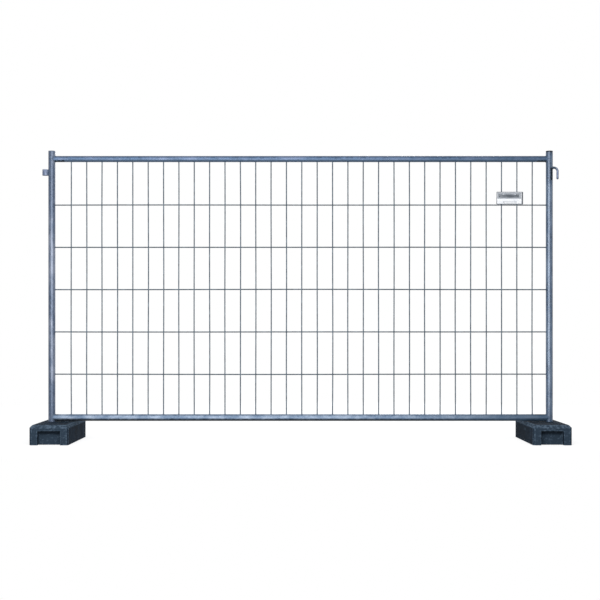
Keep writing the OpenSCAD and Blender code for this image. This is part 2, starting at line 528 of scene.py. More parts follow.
@dataclass(frozen=True)
class Plastic(Finish):
    """Moulded plastic with rubbed edges, specks and dust on top; its wear attribute also carries
    painted light.
    """

    dust: str = "#48545f"
    edges: bool = False
    scale: float = 55.0
    stretch: Point = (1.0, 0.55, 1.3)
    cloud: Point = (9.0, 4.0, 0.6)
    cloud_edge: Span = (0.35, 0.7)
    rubbed: Span = (0.1, 0.3)
    speck_share: float = 0.2
    dusty_rise: Span = (0.4, 1.0)
    dust_share: Span = (0.05, 0.3)
    scuff_share: Span = (0.25, 0.8)
    grain: Point = (260.0, 3.0, 0.6)
    grit: float = 0.5
    scuff_height: float = 0.6
    relief: float = 0.0008

    def colour(self, sheet: NodeSheet, place: dict) -> tuple:
        """Adds clouds, specks, dust, scuffs that are strongest where the wear is, and any marks;
        the wear also lightens, and on the foot's ends it is painted light.

        Args:
            sheet: the material's tree.
            place: outputs of the Texture Coordinate node.

        Returns:
            Base colour, roughness, metallic and normal.
        """
        point = place["Object"]
        light, dust_tone = linear(self.light), linear(self.dust)
        wear: object = 0.0
        if self.edges:
            wear = sheet.add("ShaderNodeAttribute", attribute_name="wear").outputs["Fac"]
        sizes = {"Stretch": self.stretch, "Scale": self.scale, "Wear": wear}
        scuff = Scuffs().place(sheet, Vector=point, **sizes)
        cloud = sheet.step(sheet.noise(point, *self.cloud), *self.cloud_edge)
        base = sheet.blend(cloud, linear(self.shade), linear(self.body))
        # lightens by the wear attribute: worn edges, and painted light on the foot's ends and grip
        # walls
        base = sheet.blend(sheet.step(wear, *self.rubbed), base, dust_tone)
        specks = sheet.math("MULTIPLY", scuff["Speck"], self.speck_share)
        base = sheet.blend(specks, base, light)
        level = sheet.step(sheet.parts(place["Normal"])[2], *self.dusty_rise)
        dust = sheet.math("MULTIPLY", level, sheet.between(cloud, *self.dust_share))
        base = sheet.blend(dust, base, dust_tone)
        share = sheet.math("MULTIPLY", scuff["Scuff"], sheet.between(wear, *self.scuff_share))
        base = self.marked(sheet, point, sheet.blend(share, base, light))
        rough = sheet.between(scuff["Scuff"], *self.rough)
        grain = sheet.noise(point, *self.grain)
        height = sheet.math("MULTIPLY_ADD", scuff["Scuff"], self.scuff_height, grain)
        return base, rough, 0.0, sheet.bump(height, self.grit, self.relief)


@dataclass(frozen=True)
class CoatedSheet(Finish):
    """Painted or coated sheet, with plain printed blocks and grime."""

    scale: float = 70.0
    stretch: Point = (0.4, 1.0, 2.2)
    cloud: Point = (28.0, 4.0, 0.6)
    cloud_edge: Span = (0.4, 0.75)
    grime_share: float = 0.3
    scuff_share: float = 0.5
    grain: Point = (500.0, 2.0, 0.5)
    grit: float = 0.15
    relief: float = 0.0003

    def colour(self, sheet: NodeSheet, place: dict) -> tuple:
        """Adds the coat, the blocks, and grime and scratches over both.

        Args:
            sheet: the material's tree.
            place: outputs of the Texture Coordinate node.

        Returns:
            Base colour, roughness, metallic and normal.
        """
        point = place["Object"]
        sizes = {"Stretch": self.stretch, "Scale": self.scale, "Wear": 0.0}
        scuff = Scuffs().place(sheet, Vector=point, **sizes)["Scuff"]
        cloud = sheet.step(sheet.noise(point, *self.cloud), *self.cloud_edge)
        base = self.marked(sheet, point, linear(self.body))
        grime = sheet.math("MULTIPLY", cloud, self.grime_share)
        base = sheet.blend(grime, base, linear(self.shade))
        scratched = sheet.math("MULTIPLY", scuff, self.scuff_share)
        base = sheet.blend(scratched, base, linear(self.light))
        rough = sheet.between(cloud, *self.rough)
        grain = sheet.noise(point, *self.grain)
        return base, rough, 0.0, sheet.bump(grain, self.grit, self.relief)


class Bench:
    """One mesh in the making, with the jobs that several pieces need."""

    def __init__(self) -> None:
        """Starts with an empty mesh."""
        self.bm = bmesh.new()

    def mark(self) -> Made:
        """The vertices and faces so far."""
        return set(self.bm.verts), set(self.bm.faces)

    def verts_since(self, mark: Made) -> list[BMVert]:
        """Vertices made after a mark."""
        return [v for v in self.bm.verts if v not in mark[0]]

    def faces_since(self, mark: Made) -> list[BMFace]:
        """Faces made after a mark."""
        return [f for f in self.bm.faces if f not in mark[1]]

    def sharp_since(self, mark: Made) -> list[BMEdge]:
        """Sharp edges made after a mark."""
        return [e for e in self.loop(self.verts_since(mark)) if e.calc_face_angle(0) > SHARP_ANGLE]

    def weld_since(self, mark: Made) -> None:
        """Gives the faces made after a mark the finish of a weld."""
        for face in self.faces_since(mark):
            face.material_index = WELD_INDEX

    @staticmethod
    def loop(verts: list[BMVert]) -> list[BMEdge]:
        """Finds the edges that join vertices of a list.

        Args:
            verts: the vertices.

        Returns:
            The edges, each once, in the order of the vertices.
        """
        inside = set(verts)
        found = (e for v in verts for e in v.link_edges if e.other_vert(v) in inside)
        return list(dict.fromkeys(found))

    def ring(
        self, sides: int, radius: float, filled: bool, place: Matrix = IN_PLACE
    ) -> list[BMVert]:
        """Adds a circle of edges, or a disc.

        Args:
            sides: number of sides.
            radius: radius of the circle.
            filled: whether it gets a face.
            place: where it goes.

        Returns:
            The circle's vertices.
        """
        style = {"cap_ends": filled, "segments": sides, "radius": radius, "matrix": place}
        return bmesh.ops.create_circle(self.bm, **style)["verts"]

    def settle(self, mark: Made, place: Matrix = IN_PLACE) -> list[BMVert]:
        """Turns what was made after a mark outside out and puts it in place.

        Args:
            mark: what the mesh held before.
            place: where the new shape goes.

        Returns:
            The vertices of the new shape.
        """
        bmesh.ops.recalc_face_normals(self.bm, faces=self.faces_since(mark))
        verts = self.verts_since(mark)
        bmesh.ops.transform(self.bm, matrix=place, verts=verts)
        return verts

    def round_off(self, edges: list[BMEdge], width: float, segments: int = 2) -> list[BMFace]:
        """Bevels edges round and returns the new faces."""
        style = {"offset": width, "segments": segments, "clamp_overlap": True, **BEVEL}
        return bmesh.ops.bevel(self.bm, geom=edges, **style)["faces"]

    def cut(self, mark: Made, axis: int, at_place: float) -> None:
        """Cuts edges into what was made after a mark.

        Args:
            mark: what the mesh held before.
            axis: number of the axis across the cut.
            at_place: place of the cut along it.
        """
        normal = Vector((0, 0, 0))
        normal[axis] = 1
        edges = [e for e in self.bm.edges if not mark[0].intersection(e.verts)]
        geom = self.verts_since(mark) + edges + self.faces_since(mark)
        plane = {"plane_co": normal * at_place, "plane_no": normal}
        bmesh.ops.bisect_plane(self.bm, geom=geom, dist=TINY, **plane)

    def edge_flats(self, mark: Made, axis: int, border: float) -> None:
        """Sets a border into the large flat faces across an axis.

        The roundings beside a flat face then don't shade it.

        Args:
            mark: what the mesh held before.
            axis: number of the axis.
            border: width of the border.
        """
        square, most_sides = 0.99, 8
        self.bm.normal_update()
        flats = [
            f for f in self.faces_since(mark)
            if abs(f.normal[axis]) > square and len(f.verts) > most_sides
        ]
        bmesh.ops.inset_individual(self.bm, faces=flats, thickness=border, use_even_offset=True)

    def grow(self, faces: list[BMFace], move: Vector, attached: bool = False) -> list[BMVert]:
        """Extrudes faces.

        Args:
            faces: the faces to start from.
            move: how far the new faces go.
            attached: whether other faces join the first ones, which then go.

        Returns:
            The new vertices.
        """
        grown = bmesh.ops.extrude_face_region(self.bm, geom=faces)["geom"]
        verts = [g for g in grown if isinstance(g, BMVert)]
        bmesh.ops.translate(self.bm, vec=move, verts=verts)
        if attached:
            bmesh.ops.delete(self.bm, geom=faces, context="FACES_ONLY")
        return verts

    def draw(self, edges: list[BMEdge], move: Vector, size: float = 1.0) -> list[BMEdge]:
        """Extrudes a loop of edges.

        Args:
            edges: the loop.
            move: how far the new loop goes.
            size: how much larger the new loop is.

        Returns:
            The edges of the new loop.
        """
        made = bmesh.ops.extrude_edge_only(self.bm, edges=edges)["geom"]
        verts = [g for g in made if isinstance(g, BMVert)]
        bmesh.ops.translate(self.bm, vec=move, verts=verts)
        middle = sum((v.co for v in verts), Vector()) / len(verts)
        space = Matrix.Translation(-middle)
        bmesh.ops.scale(self.bm, vec=(size,) * 3, space=space, verts=verts)
        return self.loop(verts)

    def tube(
        self, outer: float, inner: float, length: float, place: Matrix, edge: float = 0.0
    ) -> list[BMVert]:
        """Adds a tube along Z.

        Args:
            outer: outer radius.
            inner: inner radius.
            length: length from the origin up.
            place: where the tube goes.
            edge: width of the rounding at its ends.

        Returns:
            The tube's vertices.
        """
        mark = self.mark()
        rims = [e for r in (outer, inner) for e in self.loop(self.ring(TUBE_SIDES, r, False))]
        self.grow(bmesh.ops.bridge_loops(self.bm, edges=rims)["faces"], UP * length)
        if edge:
            self.round_off(self.sharp_since(mark), edge)
            border = END_BORDER * edge
            for at_place in (border, length - border):
                self.cut(mark, 2, at_place)
        return self.settle(mark, place)

    def rod(
        self, radius: float, length: float, place: Matrix, sides: int = 16, cuts: int = 0
    ) -> list[BMVert]:
        """Adds a solid round bar along Z.

        Args:
            radius: radius of the bar.
            length: length from the origin up.
            place: where the bar goes.
            sides: number of sides.
            cuts: number of cuts across it.

        Returns:
            The bar's vertices.
        """
        mark = self.mark()
        ring = self.ring(sides, radius, True)
        self.grow(list(ring[0].link_faces), UP * length)
        if cuts:
            edges = self.loop(self.verts_since(mark))
            long = [e for e in edges if abs(e.verts[0].co.z - e.verts[1].co.z) > length / 2]
            bmesh.ops.subdivide_edges(self.bm, edges=long, cuts=cuts)
        return self.settle(mark, place)

    def bead(
        self, radius: float, thick: float, place: Matrix, steps: int = 60, ripples: int = 15
    ) -> list[BMVert]:
        """Adds a rippled ring of weld round the Z axis.

        Args:
            radius: radius of the ring's core.
            thick: radius of the bead.
            place: where the ring goes.
            steps: number of steps round it.
            ripples: number of ripples round it.

        Returns:
            The ring's vertices.
        """
        mark = self.mark()
        stand = at(radius, 0, 0) @ Matrix.Rotation(QUARTER, 4, "X")
        ring = self.ring(BEAD_SIDES, thick, False, stand)
        path = {"cent": (0, 0, 0), "axis": UP, "angle": TURN, "steps": steps, "use_merge": True}
        bmesh.ops.spin(self.bm, geom=ring + self.loop(ring), **path)
        for vert in self.verts_since(mark):
            turn = math.atan2(vert.co.y, vert.co.x)
            core = Vector((math.cos(turn), math.sin(turn), 0)) * radius
            lump = BEAD_LUMP * math.sin(BEAD_LUMPS * turn + radius * BEAD_PHASE)
            swell = 1 + BEAD_RIPPLE * math.sin(ripples * turn) + lump
            vert.co = core + (vert.co - core) * swell
        self.weld_since(mark)
        return self.settle(mark, place)

    def close(self, name: str, materials: list[bpy.types.Material]) -> bpy.types.Object:
        """Turns the mesh into an object of the scene.

        Args:
            name: name of the object.
            materials: its materials, in the order of the material indices.

        Returns:
            The object.
        """
        mesh = bpy.data.meshes.new(name)
        self.bm.to_mesh(mesh)
        self.bm.free()
        for material in materials:
            mesh.materials.append(material)
        return show(name, mesh)

    def piece(
        self, node: str, ending: str, finishes: list[Finish], slot: Slot, body: Body = Body.PANEL
    ) -> None:
        """Closes the mesh and hands it over as the piece that stands for a node.

        Args:
            node: the node, whose name starts the piece's name.
            ending: the end of the piece's name.
            finishes: its finishes, in the order of the material indices.
            slot: not used.
            body: the body it rides on.
        """
        made = self.close(f"{node}_{ending}", [finish.material() for finish in finishes])
        mesh = made.data
        mesh.polygons.foreach_set("use_smooth", [True] * len(mesh.polygons))
        mesh.set_sharp_from_angle(angle=SHADE_ANGLE)
        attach(made, body.value)
        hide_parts(node)
        LOG.info("piece %s on %s, %d faces", made.name, body.value, len(mesh.polygons))


STANDING = (1.0, 1.0, 0.4)
LYING = (0.55, 1.0, 1.0)
# The uprights' zincs are copies of one zinc: the right one's darker tones are painted shade on its
# sides.
LEFT_TONES = {"shade": "#33435a", "body": "#4b5b73", "light": "#808899"}
RIGHT_SHADED_TONES = {"shade": "#1c3650", "body": "#2f4b69", "light": "#66798f"}
BAR_TONES = {"shade": "#56637b", "body": "#6c7792", "light": "#8d97ac"}
# painted shade beside the hook's leg on the tube, laid on as a burnt patch; a burnt patch at the
# hook's root; a dark band round the tube's top
RIGHT_SHADE_AND_BURN_MARKS = (
    Mark("#16202a", (1.7400, -0.0165, 1.8535), (0.0110, 0.0110, 0.0430), 0.003, 0.94, True),
    Mark("#27323c", (1.7500, 0.0, 1.8960), (0.006, 0.014, 0.014), 0.006, 0.7, True),
    Mark("#1f262e", (1.7258, 0.0, 2.0065), (0.03, 0.03, 0.004), 0.003, 0.85, True),
)
# painted shade: the right end of the rail and its top darker; then a dark patch under each end,
# beside the uprights
TOP_RAIL_SHADE_AND_PATCHES = (
    Mark("#2c4258", (1.70, 0.0, 1.956), (0.85, 1.0, 1.0), 0.85, 0.55),
    Mark("#3c4a63", (0.0, 0.0, 1.9755), (1.71, 0.03, 0.005), 0.005, 0.7),
    Mark("#0f151b", (-1.668, 0.0, 1.9375), (0.034, 0.03, 0.006), 0.004, 0.9, True),
    Mark("#0f151b", (1.668, 0.0, 1.9375), (0.034, 0.03, 0.006), 0.004, 0.9, True),
)
# painted shade: the right end of the rail darker, and painted shadows on its top beside the
# uprights
BOTTOM_RAIL_SHADE_MARKS = (
    Mark("#364b60", (1.70, 0.0, 0.1625), (0.6, 1.0, 1.0), 0.6, 0.8),
    Mark("#161d25", (1.6600, 0.0, 0.1860), (0.032, 0.03, 0.004), 0.004, 0.85),
    Mark("#161d25", (-1.6920, 0.0, 0.1860), (0.012, 0.03, 0.004), 0.004, 0.85),
)
# painted shade on the hook's arm near its root
HOOK_ARM_SHADE_MARKS = (Mark("#374855", (1.7570, 0.0, 1.8960), (0.013, 0.02, 0.012), 0.008, 0.85),)
LEFT_ZINC = Zinc(
    "zinc_left_upright", **LEFT_TONES, rough=(0.3, 0.4), gloss=0.7, grit=0.05, stretch=STANDING
)
RIGHT_SHADED_ZINC = Zinc(
    "zinc_right_upright_shaded", **RIGHT_SHADED_TONES, rough=(0.26, 0.34), gloss=1.0, marks=RIGHT_SHADE_AND_BURN_MARKS,
    metal=0.25, grit=0.05, stretch=STANDING
)
# The rails' zincs are a shaded and a lit copy of one zinc: the top rail's darker tones are painted
# shade, the bottom rail's lighter tones painted light; the bottom rail's near-black underside
# colour is painted shade.
TOP_SHADED_ZINC = Zinc(
    "zinc_top_rail_shaded", "#3f546e", "#58708f", "#7685a2", (0.34, 0.5), marks=TOP_RAIL_SHADE_AND_PATCHES,
    dirt="#42556a", stretch=LYING
)
BOTTOM_LIT_ZINC = Zinc(
    "zinc_bottom_rail_lit", "#566880", "#6f8197", "#9ba8ba", (0.34, 0.5), 0.15, BOTTOM_RAIL_SHADE_MARKS,
    dirt="#0d1319", stretch=LYING
)
WIRE_ZINC = Zinc(
    "zinc_wire", "#44505a", "#58656f", "#798791", (0.65, 0.85), 0.1,
    patch=30.0, spangle=160.0, metal=0.1
)
BAR_ZINC = Zinc("zinc_bar", **BAR_TONES, rough=(0.4, 0.6), patch=40.0, spangle=150.0)
HOOK_ZINC = Zinc(
    "zinc_hook", **BAR_TONES, rough=(0.4, 0.6), marks=HOOK_ARM_SHADE_MARKS, patch=40.0, spangle=150.0
)
RIVET_ALLOY = Zinc(
    "rivet_alloy", "#9a9fa5", "#b4b8bd", "#d0d3d7", (0.3, 0.45),
    patch=200.0, spangle=500.0, metal=0.6
)
WELD = Zinc(
    "weld_bead", "#3f4e60", "#53647a", "#72819a", (0.45, 0.7), patch=90.0, spangle=260.0, grit=0.6
)


@dataclass
class TubeFrame:
    """Two uprights and two rails, the rails' ends hollowed to the uprights and welded all round."""

    axis_x: float = 1.72585
    foot_z: float = 0.008
    length: float = 2.0
    upright_r: float = 0.02415
    upright_wall: float = 0.002
    upright_edge: float = 0.0004
    top_r: float = 0.0212
    bottom_r: float = 0.0235
    rail_wall: float = 0.0015
    top_z: float = 1.956
    bottom_z: float = 0.1625
    weld_r: float = 0.0028
    least_depth: float = 0.2

    def saddle(self, verts: list[BMVert], side: Side) -> None:
        """Pushes vertices along x on to an upright's surface.

        Args:
            verts: vertices that lie in the plane that touches the upright.
            side: which upright.
        """
        least = self.least_depth * self.upright_r
        for vert in verts:
            depth = math.sqrt(max(self.upright_r ** 2 - vert.co.y ** 2, least ** 2))
            vert.co.x += side.value * (self.upright_r - depth)

    def weld_ring(
        self, bench: Bench, side: Side, z: float, radius: float, outside: bool, **shape: float
    ) -> None:
        """Adds a weld ring where a bar along x meets an upright.

        Args:
            bench: the mesh that gets the ring.
            side: which upright.
            z: height of the bar.
            radius: radius of the bar.
            outside: whether the bar is on the outer side of the upright.
            shape: thickness, steps and ripples of the bead.
        """
        reach = self.upright_r if outside else -self.upright_r
        stand = at(side.value * (self.axis_x + reach), 0, z) @ ALONG_X
        facing = Side(-side.value) if outside else side
        self.saddle(bench.bead(radius, place=stand, **shape), facing)

    def build_upright(self, side: Side, finish: Finish) -> None:
        """Makes one upright.

        Args:
            side: which upright.
            finish: its finish.
        """
        bench = Bench()
        bore = self.upright_r - self.upright_wall
        stand = at(side.value * self.axis_x, 0, self.foot_z)
        bench.tube(self.upright_r, bore, self.length, stand, self.upright_edge)
        bench.piece(side.named("upright"), "tube", [finish], Slot.TUBE)

    def build_rail(self, node: str, z: float, radius: float, finish: Finish) -> None:
        """Makes one rail with the welds at its ends.

        Args:
            node: the rail's node.
            z: height of its axis.
            radius: its outer radius.
            finish: its finish.
        """
        bench = Bench()
        reach = self.axis_x - self.upright_r
        stand = at(-reach, 0, z) @ ALONG_X
        verts = bench.tube(radius, radius - self.rail_wall, 2 * reach, stand)
        for side in Side:
            self.saddle([v for v in verts if v.co.x * side.value > 0], side)
            self.weld_ring(bench, side, z, radius, False, thick=self.weld_r)
        bench.piece(node, "tube", [finish, WELD], Slot.TUBE)

    def build(self) -> None:
        """Makes uprights and rails."""
        self.build_upright(Side.LEFT, LEFT_ZINC)
        self.build_upright(Side.RIGHT, RIGHT_SHADED_ZINC)
        self.build_rail("top_rail", self.top_z, self.top_r, TOP_SHADED_ZINC)
        self.build_rail("bottom_rail", self.bottom_z, self.bottom_r, BOTTOM_LIT_ZINC)


@dataclass
class WireInfill:
    """Vertical wires welded to the rails, horizontal wires behind them welded to the uprights."""

    tubes: TubeFrame
    wire_r: float = 0.004
    depth: float = 0.004025
    columns: int = 31
    first_x: float = -1.58985
    last_x: float = 1.60685
    rows: tuple[float, ...] = (1.637, 1.343625, 1.05025, 0.756875, 0.4635)
    column_cuts: int = 11
    row_cuts: int = 23
    bow: float = 0.0016
    bow_seed: int = 31
    weld_r: float = 0.0016
    weld_steps: int = 16
    weld_ripples: int = 4
    sunk: float = 0.0004
    nugget: Point = (1.25, 0.42, 1.25)
    nugget_sides: tuple[int, int] = (8, 5)

    def bend(self, verts: list[BMVert], along: int, across: int, dice: random.Random) -> None:
        """Bows a wire a little, as handling does.

        Args:
            verts: the wire's vertices.
            along: number of the axis the wire runs along.
            across: number of the axis it bows along.
            dice: source of the wire's own bow.
        """
        start = min(v.co[along] for v in verts)
        span = max(v.co[along] for v in verts) - start
        waves = {k: dice.uniform(-self.bow, self.bow) / k for k in (1, 2, 3)}
        for vert in verts:
            turn = math.pi * (vert.co[along] - start) / span
            vert.co[across] += sum(size * math.sin(k * turn) for k, size in waves.items())

    def weld_end(self, bench: Bench, place: Matrix) -> None:
        """Adds the weld round a wire's end."""
        bench.bead(self.wire_r, self.weld_r, place, self.weld_steps, self.weld_ripples)

    def build_column(self, number: int, x: float, dice: random.Random) -> None:
        """Makes one vertical wire with the welds at its ends.

        Args:
            number: number of the wire, from the left.
            x: its place.
            dice: source of its bow.
        """
        bench = Bench()
        tubes = self.tubes
        rails = ((tubes.bottom_z, tubes.bottom_r, 1), (tubes.top_z, tubes.top_r, -1))
        ends = [z + up * chord(radius, self.depth) for z, radius, up in rails]
        foot = at(x, -self.depth, ends[0])
        verts = bench.rod(self.wire_r, ends[1] - ends[0], foot, cuts=self.column_cuts)
        self.bend(verts, 2, 0, dice)
        for end, (z, radius, up) in zip(ends, rails):
            for vert in verts:
                if abs(vert.co.z - end) < 10 * TINY:
                    vert.co.z = z + up * (chord(radius, vert.co.y) - self.sunk)
            self.weld_end(bench, at(x, -self.depth, end))
        bench.piece(f"vertical_wire_{number:02d}", "rod", [WIRE_ZINC, WELD], Slot.WIRE)

    def build_row(self, number: int, z: float, columns: list[float], dice: random.Random) -> None:
        """Makes one horizontal wire with a weld at each crossing and at its ends.

        Args:
            number: number of the wire, from the top.
            z: its height.
            columns: places of the vertical wires.
            dice: source of its bow.
        """
        bench = Bench()
        reach = self.tubes.axis_x - chord(self.tubes.upright_r, self.depth)
        foot = at(-reach, self.depth, z) @ ALONG_X
        verts = bench.rod(self.wire_r, 2 * reach, foot, cuts=self.row_cuts)
        self.bend(verts, 0, 2, dice)
        for x in (-reach, reach):
            self.weld_end(bench, at(x, self.depth, z) @ ALONG_X)
        mark = bench.mark()
        flat = Matrix.Diagonal((*[self.wire_r * share for share in self.nugget], 1))
        sides = dict(zip(("u_segments", "v_segments"), self.nugget_sides))
        for x in columns:
            bmesh.ops.create_uvsphere(bench.bm, radius=1, matrix=at(x, 0, z) @ flat, **sides)
        bench.weld_since(mark)
        bench.piece(f"horizontal_wire_{number}", "rod", [WIRE_ZINC, WELD], Slot.WIRE)

    def build(self) -> None:
        """Makes all wires."""
        dice = random.Random(self.bow_seed)
        pitch = (self.last_x - self.first_x) / (self.columns - 1)
        columns = [self.first_x + i * pitch for i in range(self.columns)]
        for i, x in enumerate(columns):
            self.build_column(i + 1, x, dice)
        for i, z in enumerate(self.rows):
            self.build_row(i + 1, z, columns, dice)


@dataclass
class Coupling:
    """The eye on the left upright and the hook on the right one."""

    tubes: TubeFrame
    eye_x: float = -1.7702
    eye_r: float = 0.0212
    eye_wall: float = 0.002
    eye_edge: float = 0.0005
    eye_low: float = 1.842
    eye_high: float = 1.883
    seam_r: float = 0.0022
    seam_y: float = 0.0068
    seam_depth: float = 0.965
    seam_share: float = 0.94
    seam_steps: int = 14
    seam_ripple: float = 0.1
    seam_ends: Span = (1.5, 0.66)
    hook_r: float = 0.008
    hook_sides: int = 24
    arm_z: float = 1.896
    leg_x: float = 1.783
    bend_r: float = 0.024
    bend_steps: int = 14
    tip_z: float = 1.823
    tip_rings: int = 7
    root_sunk: float = 0.0012
    root_weld_r: float = 0.0032
    root_steps: int = 36
    root_ripples: int = 9

    def add_seam(self, bench: Bench, front: int) -> None:
        """Adds the rippled weld down one side of the eye.

        Args:
            bench: the mesh of the eye.
            front: -1 for the front, 1 for the back.
        """
        mark = bench.mark()
        height = self.eye_high - self.eye_low
        step_up = UP * (height * self.seam_share / self.seam_steps)
        ripples = [1 + self.seam_ripple * (-1) ** i for i in range(1, self.seam_steps - 1)]
        edges = bench.loop(bench.ring(BEAD_SIDES, self.seam_r, True))
        for size in (self.seam_ends[0], *ripples, self.seam_ends[1]):
            edges = bench.draw(edges, step_up, size)
        bmesh.ops.edgeloop_fill(bench.bm, edges=edges)
        x = -self.tubes.axis_x - self.tubes.upright_r * self.seam_depth
        low = self.eye_low + height * (1 - self.seam_share) / 2
        bench.settle(mark, at(x, front * self.seam_y, low))
        bench.weld_since(mark)

    def build_eye(self) -> None:
        """Makes the eye with a weld down each side."""
        bench = Bench()
        stand = at(self.eye_x, 0, self.eye_low)
        height = self.eye_high - self.eye_low
        bench.tube(self.eye_r, self.eye_r - self.eye_wall, height, stand, self.eye_edge)
        for front in (-1, 1):
            self.add_seam(bench, front)
        bench.piece("coupling_eye", "ring", [BAR_ZINC, WELD], Slot.TUBE)

    def build_hook(self) -> None:
        """Makes the hook from one bar, with a weld round its root."""
        bench = Bench()
        mark = bench.mark()
        root = self.tubes.axis_x + self.tubes.upright_r - self.root_sunk
        bend_x, bend_z = self.leg_x - self.bend_r, self.arm_z - self.bend_r
        ring = bench.ring(self.hook_sides, self.hook_r, True, at(root, 0, self.arm_z) @ ALONG_X)
        edges = bench.draw(bench.loop(ring), Vector((bend_x - root, 0, 0)))
        geom = list(dict.fromkeys(v for e in edges for v in e.verts)) + edges
        path = {"cent": (bend_x, 0, bend_z), "axis": (0, 1, 0), "angle": QUARTER}
        turned = bmesh.ops.spin(
            bench.bm, geom=geom, steps=self.bend_steps, use_merge=False, **path
        )["geom_last"]
        edges = bench.loop([g for g in turned if isinstance(g, BMVert)])
        edges = bench.draw(edges, UP * (self.tip_z - bend_z))
        turns = [QUARTER * i / self.tip_rings for i in range(self.tip_rings)]
        for last, turn in zip(turns, turns[1:]):
            fall = self.hook_r * (math.sin(turn) - math.sin(last))
            edges = bench.draw(edges, UP * -fall, math.cos(turn) / math.cos(last))
        bmesh.ops.edgeloop_fill(bench.bm, edges=edges)
        bench.settle(mark)
        sizes = (self.root_weld_r, self.root_steps, self.root_ripples)
        shape = dict(zip(("thick", "steps", "ripples"), sizes))
        self.tubes.weld_ring(bench, Side.RIGHT, self.arm_z, self.hook_r, True, **shape)
        bench.piece("coupling_hook", "bar", [HOOK_ZINC, WELD], Slot.BAR)

    def build(self) -> None:
        """Makes eye and hook."""
        self.build_eye()
        self.build_hook()


DARK_CAP = Plastic(
    "cap_dark", "#14181d", "#1f252b", "#434b54", (0.45, 0.7), 0.12, dust="#2b3138", scale=60.0
)
PALE_CAP = Plastic(
    "cap_bleached", "#46546a", "#596880", "#7f8ba0", (0.5, 0.75), 0.2, dust="#707c90", scale=60.0
)


@dataclass
class EndCaps:
    """Plugs with a flange, pushed into the tops of the uprights."""

    tubes: TubeFrame
    flange: float = 0.004
    rounding: float = 0.0016
    rounding_steps: int = 3
    border: float = 0.001
    plug_r: float = 0.022
    plug_depth: float = 0.02
    plug_taper: float = 0.97

    def build_cap(self, side: Side, finish: Finish) -> None:
        """Makes one cap.

        Args:
            side: which upright it closes.
            finish: its finish.
        """
        bench = Bench()
        bm = bench.bm
        mark = bench.mark()
        tubes = self.tubes
        ring = bench.ring(TUBE_SIDES, tubes.upright_r, True)
        top = bench.grow(list(ring[0].link_faces), UP * self.flange)
        bench.round_off(bench.loop(top), self.rounding, self.rounding_steps)
        discs = [f for f in bm.faces if len(f.verts) == TUBE_SIDES]
        low = [f for f in discs if all(abs(v.co.z) < TINY for v in f.verts)]
        bmesh.ops.inset_region(bm, faces=low, thickness=tubes.upright_r - self.plug_r)
        plug = bench.grow(low, UP * -self.plug_depth, True)
        bmesh.ops.scale(bm, vec=(self.plug_taper, self.plug_taper, 1), verts=plug)
        bench.edge_flats(mark, 2, self.border)
        bench.settle(mark, at(side.value * tubes.axis_x, 0, tubes.foot_z + tubes.length))
        bench.piece(side.named("cap"), "plug", [finish], Slot.CAP)

    def build(self) -> None:
        """Makes both caps."""
        self.build_cap(Side.LEFT, PALE_CAP)
        self.build_cap(Side.RIGHT, DARK_CAP)


FOOT_X = 1.6791
# painted shadow of each grip's top on its back wall
GRIP_SHADOW_MARKS = tuple(
    Mark("#10171e", (x, y, 0.082), (0.074, 0.008, 0.013), 0.006, 0.62)
    for x in (-FOOT_X, FOOT_X) for y in (-0.31, 0.31)
)
SIDE_MARKS = (Mark("#5f7583", (1.5491, -0.049, 0.087), (0.004, 0.009, 0.006), 0.007, 0.75),)
FOOT_PLASTIC = Plastic(
    "moulded_foot", "#121b25", "#202c39", "#5c6c7d", (0.75, 0.95), 0.02, GRIP_SHADOW_MARKS + SIDE_MARKS,
    dust="#2f3c49", edges=True
)


